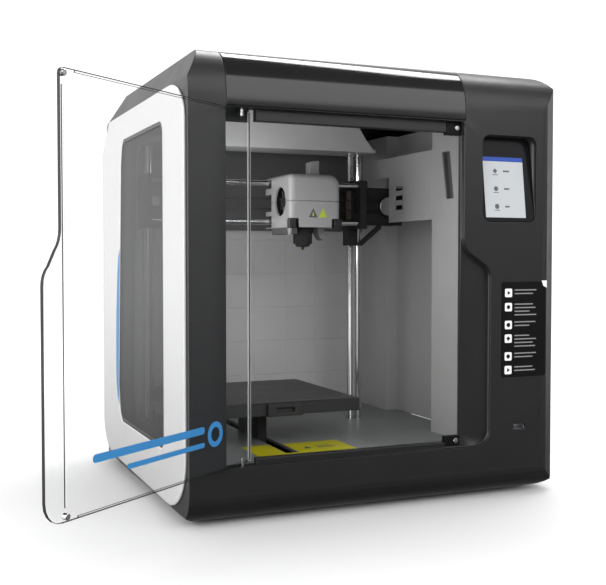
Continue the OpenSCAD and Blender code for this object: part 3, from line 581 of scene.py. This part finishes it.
def add_motion():
    for node, look in (("guide_rods", "steel"), ("carriage_rods", "steel_x")):
        refine(node, look, 0.5)
    for node in ("left_lead_screw", "right_lead_screw"):
        add_lead_screw(node)
    for node in ("gantry_bracket_left", "gantry_bracket_right", "carriage_slider"):
        refine(node, "black_matte", 0.4)
    for node in ("carriage_motor", "lift_motors", "bed_motor", "feed_motor"):
        refine(node, "motor_black", 1.5, 3)
    for node in ("carriage_idler", "carriage_pulley", "bed_pulley"):
        refine(node, "cut_steel", 0.2)
    for node in ("carriage_belt", "bed_belt"):
        refine(node, "belt", 0.2)
    for node in ("hotend", "feed_gear"):
        refine(node, "brass", 0.2)
    refine("lead_nuts", "nut_bronze", 0.2)
    refine("hotend_fan", "black_trim", 0.2)
    refine("nozzle_clip_left", "black_trim", 0.8, 3)
    refine("nozzle_clip_right", "black_trim", 0.8, 3)
    refine("bed_plate", "bed_coating", 0.4)
    refine("spool_hub", "black_matte", 0.8, 3)
    refine("spool_spindle", "grey_plastic", 0.4)
    refine("mainboard", "circuit_board", 0.2)
    refine("power_supply", "sheet_steel", 0.8)
    refine("door_hinge_pins", "steel", 0.3)
    refine("door_magnets", "cut_steel", 0.4)


def add_gantry_strut():
    """A black brace that runs down from the motor to the right screw's nut."""
    outline = [(97.0, 268.0), (97.0, 262.0), (73.0, 242.5), (69.0, 242.5), (69.0, 245.5)]
    front, rear = 206, 212
    bm = bmesh.new()
    prism(bm, outline, "d", front, rear)
    detail("gantry_strut", bm, "black_matte", "gantry", 0.4)


def add_bed_frame():
    """The bed's frame, with a finger slot cut in the grip at its front."""
    bed = raw_copy("bed_frame", "bed_frame_shown")
    box = limits("bed_frame")
    middle = (box.x0 + box.x1) / 2 + 3.5
    slot = rounded(middle - 10, middle + 9, box.z1 - 9.0, box.z1 - 4.6, 1.2, 3)
    bm = bmesh.new()
    prism(bm, slot, "d", box.d0 - 1, box.d0 + 3.2)
    combine(bed, [solid("slot_cut", bm)], "DIFFERENCE")
    tidy(bed)
    finish_edges(bed, 0.6, 2)
    dress(bed, "black_matte", "bed", ["bed_frame"])


# ---- print head ----------------------------------------------------------------------------------

HEAD_BOTTOM, HEAD_SPLIT, HEAD_TOP = 260.0, 287.5, 315.0
HEAD_FRONT = 144.0
HEAD_WALL = 2.5
HEAD_SEAM = 0.3


def head_outline(x0, x1, z0, z1, inset=0.0):
    """The head's front view: a small round corner on the left, and a large one on the right."""
    a, b = 4.0 - inset * 0.6, 11.0 - inset * 0.6
    return ([(x0 + inset, z0), (x0 + inset, z1 - inset - a)]
            + arc(x0 + inset + a, z1 - inset - a, a, 180, 90, 5)[1:]
            + arc(x1 - inset - b, z1 - inset - b, b, 90, 0, 8)
            + [(x1 - inset, z0)])


def head_shell(name, z_low, z_high):
    """One half of the head's casing: a rounded cap, hollow, with its openings cut."""
    box = limits("carriage_housing")
    x0, x1, d0, d1 = box.x0, box.x1, HEAD_FRONT, box.d1
    z0, z1 = HEAD_BOTTOM, HEAD_TOP
    front_r, n = 6.0, 6
    bm = bmesh.new()
    loops = []
    for i in range(n + 1):
        a = math.pi / 2 * i / n
        shrink, back = front_r * (1 - math.sin(a)), front_r * (1 - math.cos(a))
        outline = head_outline(x0 + shrink, x1 - shrink, z0, z1 - shrink)
        loops.append([bm.verts.new(at(x, d0 + back, z)) for x, z in outline])
    outline = head_outline(x0, x1, z0, z1)
    loops.append([bm.verts.new(at(x, d1, z)) for x, z in outline])
    count = len(outline)
    bm.faces.new(loops[0])
    bm.faces.new(loops[-1][::-1])
    for near, far in zip(loops, loops[1:]):
        for i in range(count):
            j = (i + 1) % count
            bm.faces.new((near[i], far[i], far[j], near[j]))
    bmesh.ops.remove_doubles(bm, verts=bm.verts, dist=0.000001)
    bmesh.ops.recalc_face_normals(bm, faces=bm.faces)
    shell = solid(name, bm)
    cut = bmesh.new()
    prism(cut, head_outline(x0, x1, z0 - 2, z1, HEAD_WALL), "d", d0 + 3, d1 + 1)
    cutters = [solid("hollow", cut)]
    cut = bmesh.new()
    lathe(cut, [(15.0, x0 - 1), (15.0, x0 + 4)], (172.0, 287.5), "x", 48)
    cutters.append(solid("fan_hole", cut))
    cut = bmesh.new()
    for x in (x0 - 1, x1 - 3):
        for low, high in ((261.5, 273.5), (303.0, 312.4), (278.3, 296.3)):
            block(cut, x, x + 4, 197.0, d1 + 1, low, high)
    block(cut, x0 - 1, -30.5, d0 - 1, d0 + 7, z0 - 1, 269.5)
    block(cut, 6.5, x1 + 1, d0 - 1, d0 + 7, z0 - 1, 269.5)
    cutters.append(solid("slots", cut))
    cut = bmesh.new()
    block(cut, x0 - 5, x1 + 5, d0 - 5, d1 + 5, z0 - 9, z_low)
    block(cut, x0 - 5, x1 + 5, d0 - 5, d1 + 5, z_high, z1 + 9)
    cutters.append(solid("halves", cut))
    for cutter in cutters:
        combine(shell, [cutter], "DIFFERENCE")
    tidy(shell)
    finish_edges(shell, 0.35, 2)
    return shell


def add_head():
    lower = head_shell("head_lower_shell", HEAD_BOTTOM, HEAD_SPLIT - HEAD_SEAM)
    dress(lower, "head_grey", "carriage", ["carriage_housing"])
    upper = head_shell("head_upper_shell", HEAD_SPLIT, HEAD_TOP)
    dress(upper, "head_grey", "carriage")
    bm = bmesh.new()
    prism(bm, arc(-6.0, 328.5, 1.5, 180, 90, 3) + arc(1.5, 330.0, 1.5, 90, 0, 3)
          + [(3.0, 314.2), (-7.5, 314.2)], "d", 168.0, 180.0)
    detail("head_top_tab", bm, "head_grey", "carriage", 0.5)
    bm = bmesh.new()
    block(bm, -24, -8, 160, 176, 314.6, 316.0)
    detail("head_top_plate", bm, "head_grey", "carriage", 0.3)
    add_nozzle_sock()
    add_ducts()
    add_head_marks()


def add_nozzle_sock():
    """The soft black sock round the heater, with a rounded foot and shallow ribs."""
    sock = limits("nozzle_shroud")
    cx, cd = (sock.x0 + sock.x1) / 2, (sock.d0 + sock.d1) / 2
    foot, top = sock.z0, sock.z1
    bm = bmesh.new()
    profile = [(4.4, foot), (6.0, foot + 0.1), (7.2, foot + 0.8), (7.9, foot + 2.2),
               (8.6, foot + 5.5), (10.2, foot + 12.5), (11.0, foot + 16.5), (11.5, foot + 18.0),
               (11.5, top), (4.4, top)]
    lathe(bm, profile, (cx, cd), "z", 40)
    rib = [(0.5, foot + 3.0), (0.8, foot + 5.0), (0.9, foot + 16.0), (0.4, foot + 17.5)]
    ribs, rib_place = 12, 9.3
    for k in range(ribs):
        a = 2 * math.pi * k / ribs
        lathe(bm, rib, (cx + rib_place * math.cos(a), cd + rib_place * math.sin(a)), "z", 8)
    detail("nozzle_sock", bm, "rubber", "carriage", 0, 1,
           ["nozzle_shroud"])


def add_ducts():
    """The curved air duct right of the nozzle, and the small brackets under the head."""
    bm = bmesh.new()
    inner = arc(10.5, 258.0, 13.5, 180, 235, 6)
    outer = arc(10.5, 258.0, 6.0, 235, 180, 6)
    prism(bm, [(-3.0, 260.5)] + inner + outer + [(4.5, 260.5)], "d", 158, 172)
    detail("part_duct", bm, "duct_grey", "carriage", 0.6, 3)
    bm = bmesh.new()
    block(bm, -38.5, -29.5, 150, 200, 253.5, 260.4)
    detail("left_duct", bm, "grey_plastic", "carriage", 0.8, 3)
    bm = bmesh.new()
    prism(bm, [(144.5, 260.4), (153, 260.4), (150.5, 252.5), (147, 252.5)], "x", -39.8, -37.4)
    detail("head_bracket", bm, "head_grey", "carriage", 0.5)


def add_head_marks():
    """Two plain triangles printed on the head's front."""
    marks = (("head_mark_dark", -14.5, "screen_ink"), ("head_mark_light", -3.5, "triangle_green"))
    for name, x, look in marks:
        bm = bmesh.new()
        prism(bm, [(x - 5, 270.5), (x + 5, 270.5), (x, 280.0)], "d", 143.75, 144.1)
        detail(name, bm, look, "carriage", 0)
    bm = bmesh.new()
    prism(bm, [(-15.6, 272.2), (-13.4, 272.2), (-14.5, 276.8)], "d", 143.62, 144.0)
    detail("head_mark_centre", bm, "triangle_green", "carriage", 0)


def add_pulley_flange():
    """The wide bright disc in front of the head's drive pulley."""
    pulley = limits("carriage_pulley")
    centre = ((pulley.x0 + pulley.x1) / 2, (pulley.z0 + pulley.z1) / 2)
    front = pulley.d0
    profile = [(2.6, front - 0.5), (9.6, front - 0.5), (10.4, front - 0.1), (10.4, front + 0.3),
               (2.6, front + 0.3)]
    bm = bmesh.new()
    lathe(bm, profile, centre, "d", 40)
    detail("pulley_flange", bm, "cut_steel", "drive_pulley", 0)


# ---- door ----------------------------------------------------------------------------------------

HINGE_X, HINGE_D, DOOR_OPEN = -141.0, 5.67, 143.0
KNUCKLE = 4.5
DOOR_FACE = 1.5
PRINT_LOW, PRINT_HIGH = DOOR_FACE - 0.2, DOOR_FACE + 0.05


def add_door():
    """Clear sheet with clean faces, painted shade on its sawn edges, and a painted highlight on the
    edge by the hinge.
    """
    door = copy_of("front_door", "front_door_shown")
    finish_edges(door, 0.35, 2)
    dress(door, "clear_sheet", "door", ["front_door"])
    for look in ("sawn_edge_shade", "hinge_edge_glint"):
        door.data.materials.append(MATERIALS[look])
    hinge = at(HINGE_X, HINGE_D, 0)
    turn = math.radians(DOOR_OPEN)
    across = Vector((math.sin(turn), math.cos(turn), 0.0))
    to_hinge = Vector((-math.cos(turn), math.sin(turn), 0.0))
    for face in door.data.polygons:
        if (face.center - hinge).to_2d().length < KNUCKLE * MM:
            continue
        if abs(face.normal.dot(across)) < 0.7:
            # the edge facing the hinge gets the painted highlight, the other sawn edges get the
            # painted shade
            face.material_index = 2 if face.normal.dot(to_hinge) > 0.7 else 1


def on_door(x, d, z):
    """A place on the closed door, swung to where the open door stands."""
    turn = math.radians(DOOR_OPEN)
    dx, dd = x - HINGE_X, d - HINGE_D
    return at(HINGE_X + dx * math.cos(turn) + dd * math.sin(turn),
              HINGE_D - dx * math.sin(turn) + dd * math.cos(turn), z)


AXES["door"] = lambda u, v, w: on_door(u, w, v)


def add_door_mark():
    """A plain blue ring and bars, printed low on the outside of the door."""
    bm = bmesh.new()
    prism(bm, rounded(-92, 40, 86, 92, 2.9, 4), "door", PRINT_LOW, PRINT_HIGH)
    prism(bm, rounded(-92, 4, 75, 79, 1.9, 4), "door", PRINT_LOW, PRINT_HIGH)
    outer, inner = disc(-107, 83.5, 10.5, 36), disc(-107, 83.5, 6.0, 36)
    ring(bm, outer, inner, "door", PRINT_LOW, PRINT_HIGH)
    detail("door_mark", bm, "print_blue", "door", 0)


# ---- printed surfaces ----------------------------------------------------------------------------

def add_accent():
    """The blue sticker behind the left window, between the window's edge and a long arc."""
    x = limits("left_side_panel").x0
    low, bend, high, steps = 74.0, 94.0, 237.0, 24
    deepest = 255.6

    def edge(z):
        """How deep the window's rear edge stands at a height."""
        return deepest - ((z - bend) * 15 / 233 if z > bend else (bend - z) * 6 / 28)

    heights = [low + (high - low) * k / steps for k in range(steps + 1)]
    inner = [(edge(z), z) for z in reversed(heights)]
    outer = [(edge(z) + 12.5 * math.sin(math.pi * k / steps) ** 0.4, z)
             for k, z in enumerate(heights)][1:-1]
    bm = bmesh.new()
    prism(bm, inner + outer, "x", x - 0.12, x + 0.2)
    detail("side_accent", bm, "print_blue", width=0)


def add_front_label():
    """The black label under the screen: six rows of small squares and bars, none of it readable."""
    x0, x1, z0, z1 = 117.0, 168.0, 115.0, 206.0
    bm = bmesh.new()
    prism(bm, rounded(x0, x1, z0, z1, 2.5, 4), "d", -0.15, 0.3)
    detail("front_label", bm, "deep_black", width=0)
    squares, bars, glyphs = bmesh.new(), bmesh.new(), bmesh.new()
    rows = (195.5, 182.0, 165.0, 152.0, 135.0, 122.0)
    lines = (2, 4, 2, 4, 2, 2)
    for k, (z, count) in enumerate(zip(rows, lines)):
        prism(squares, rounded(x0 + 4, x0 + 12, z - 4, z + 4, 1.2, 3), "d", -0.24, -0.1)
        glyph = disc(x0 + 8, z, 2.2, 3 + (k * 2) % 5)
        prism(glyphs, glyph, "d", -0.30, -0.2)
        for line in range(count):
            length = (25, 21, 24, 17)[(line + k) % 4]
            top = z + 3.2 - line * 3.4
            block(bars, x0 + 15, x0 + 15 + length, -0.22, -0.1, top - 1.1, top)
    detail("label_squares", squares, "label_white", width=0)
    detail("label_bars", bars, "label_grey", width=0)
    detail("label_glyphs", glyphs, "deep_black", width=0)
    fold = bmesh.new()
    outline = [(x1 - 5, z1 + 1), (x1 + 1, z1 + 1), (x1 + 1, z1 - 6), (x1 - 3, z1 - 4)]
    prism(fold, outline, "d", -0.35, -0.1)
    detail("label_corner", fold, "label_white", width=0)


SCREEN_TILT = 7.0


def on_screen(u, v, w):
    """A place on the tilted screen: u across from the body's middle, v up, w in front of it."""
    a = math.radians(SCREEN_TILT)
    screen = limits("touchscreen")
    rise = v - screen.z0
    return at(u, screen.d0 + rise * math.sin(a) - w * math.cos(a),
              screen.z0 + rise * math.cos(a) + w * math.sin(a))


AXES["screen"] = on_screen


def add_screen_page():
    """The lit page: a coloured bar at the top, and three rows of an icon and two short bars."""
    page, bar, ink = bmesh.new(), bmesh.new(), bmesh.new()
    x0, x1, z0, z1 = 100.4, 145.3, 267.0, 325.0
    prism(page, rectangle(x0, x1, z0, z1), "screen", -0.2, 0.12)
    prism(bar, rectangle(x0, x1, z1 - 4.2, z1), "screen", 0.1, 0.16)
    for k in range(3):
        z = z1 - 13.5 - 17.0 * k
        prism(ink, disc(x0 + 13, z, 2.6, 4 + k * 2), "screen", 0.1, 0.16)
        prism(ink, rectangle(x0 + 10, x0 + 16, z - 4.0, z - 3.3), "screen", 0.1, 0.16)
        prism(ink, rectangle(x0 + 22, x0 + 29 - k, z - 0.8, z + 0.8), "screen", 0.1, 0.16)
    detail("screen_page", page, "screen_page", width=0)
    detail("screen_bar", bar, "screen_blue", width=0)
    detail("screen_icons", ink, "screen_ink", width=0)


# ---- studio --------------------------------------------------------------------------------------

def add_light(name, place, aim, size, power):
    data = bpy.data.lights.new(name, "AREA")
    data.shape = "RECTANGLE"
    data.size, data.size_y = size
    data.energy = power
    light = bpy.data.objects.new(name, data)
    light.location = place
    light.rotation_euler = (Vector(aim) - Vector(place)).to_track_quat("-Z", "Y").to_euler()
    bpy.context.scene.collection.objects.link(light)


PLAIN_WORLD, SEEN_WORLD = 1.0, 1.25


def set_ramp(node, start, end, low, high):
    """Makes a map-range node take start..end to low..high."""
    names = ("From Min", "From Max", "To Min", "To Max")
    for name, value in zip(names, (start, end, low, high)):
        node.inputs[name].default_value = value


def add_surroundings():
    """A white studio: bright at the back and left, dim in front, above and below."""
    world = bpy.data.worlds.new("studio")
    world.use_nodes = True
    nodes, link = world.node_tree.nodes, world.node_tree.links.new
    direction = nodes.new("ShaderNodeSeparateXYZ")
    link(nodes.new("ShaderNodeTexCoord").outputs["Generated"], direction.inputs["Vector"])

    def ramp(socket, start, end, low, high):
        made = nodes.new("ShaderNodeMapRange")
        made.interpolation_type = "SMOOTHSTEP"
        set_ramp(made, start, end, low, high)
        link(direction.outputs[socket], made.inputs["Value"])
        return made.outputs["Result"]

    def join(operation, one, two):
        made = nodes.new("ShaderNodeMath")
        made.operation = operation
        link(one, made.inputs[0])
        link(two, made.inputs[1])
        return made.outputs["Value"]

    sides = join("ADD", ramp("X", -0.97, -0.4, 4.2, 0.12), ramp("X", 0.3, 0.9, 0.0, 0.45))
    around = join("MAXIMUM", sides, ramp("Y", 0.0, 0.5, 0.2, 1.05))
    height = join("MULTIPLY", ramp("Z", 0.55, 0.9, 1.0, 0.15), ramp("Z", -0.25, 0.0, 0.2, 1.0))
    reflected = join("MULTIPLY", around, height)
    ray = nodes.new("ShaderNodeLightPath")
    plain = nodes.new("ShaderNodeMapRange")
    set_ramp(plain, 0.0, 1.0, PLAIN_WORLD, SEEN_WORLD)
    link(ray.outputs["Is Camera Ray"], plain.inputs["Value"])
    strength = nodes.new("ShaderNodeMix")
    link(ray.outputs["Is Glossy Ray"], strength.inputs["Factor"])
    link(plain.outputs["Result"], strength.inputs["A"])
    link(reflected, strength.inputs["B"])
    link(strength.outputs["Result"], nodes["Background"].inputs["Strength"])
    nodes["Background"].inputs["Color"].default_value = (1.0, 1.0, 1.0, 1.0)
    bpy.context.scene.world = world


def add_studio():
    """A pale floor that brightens away from the object, the surroundings, and the lamps."""
    bm = bmesh.new()
    bmesh.ops.create_circle(bm, cap_ends=True, segments=96, radius=9.0)
    floor = solid("studio_floor", bm)
    white = material("studio_white", (0.64, 0.64, 0.64), 0.6, mottle=0.0, smudge=0.02, glow=0.2)
    nodes, link = white.node_tree.nodes, white.node_tree.links.new
    distance = nodes.new("ShaderNodeVectorMath")
    distance.operation = "LENGTH"
    link(nodes["Texture Coordinate"].outputs["Object"], distance.inputs[0])
    rise = nodes.new("ShaderNodeMapRange")
    set_ramp(rise, 0.3, 1.1, 0.0, 0.8)
    link(distance.outputs["Value"], rise.inputs["Value"])
    link(rise.outputs["Result"], nodes["Principled BSDF"].inputs["Emission Strength"])
    floor.data.materials.append(white)
    floor.visible_glossy = False
    bpy.context.scene.view_settings.view_transform = "Standard"
    add_surroundings()
    add_light("front", (0.45, -1.75, 1.25), (0.05, 0.1, 0.2), (2.5, 1.2), 26.0)
    add_light("left", (-1.5, -0.55, 0.75), (-0.15, 0.0, 0.1), (1.1, 1.1), 17.0)
    add_light("overhead", (0.55, 0.5, 1.75), (0.0, 0.0, 0.4), (1.6, 0.45), 32.0)
    add_light("chamber", at(-80, 30, 338), at(-20, 300, 140), (0.10, 0.02), 0.055)
    add_light("window", at(-122, 150, 285), at(0, 190, 285), (0.12, 0.12), 0.16)


add_camera()
add_shell()
add_chamber()
add_hinge_lintel()
add_catch_magnets()
add_floor_label()
add_motion()
add_gantry_strut()
add_bed_frame()
add_head()
add_pulley_flange()
add_door()
add_door_mark()
add_accent()
add_front_label()
add_screen_page()
add_studio()
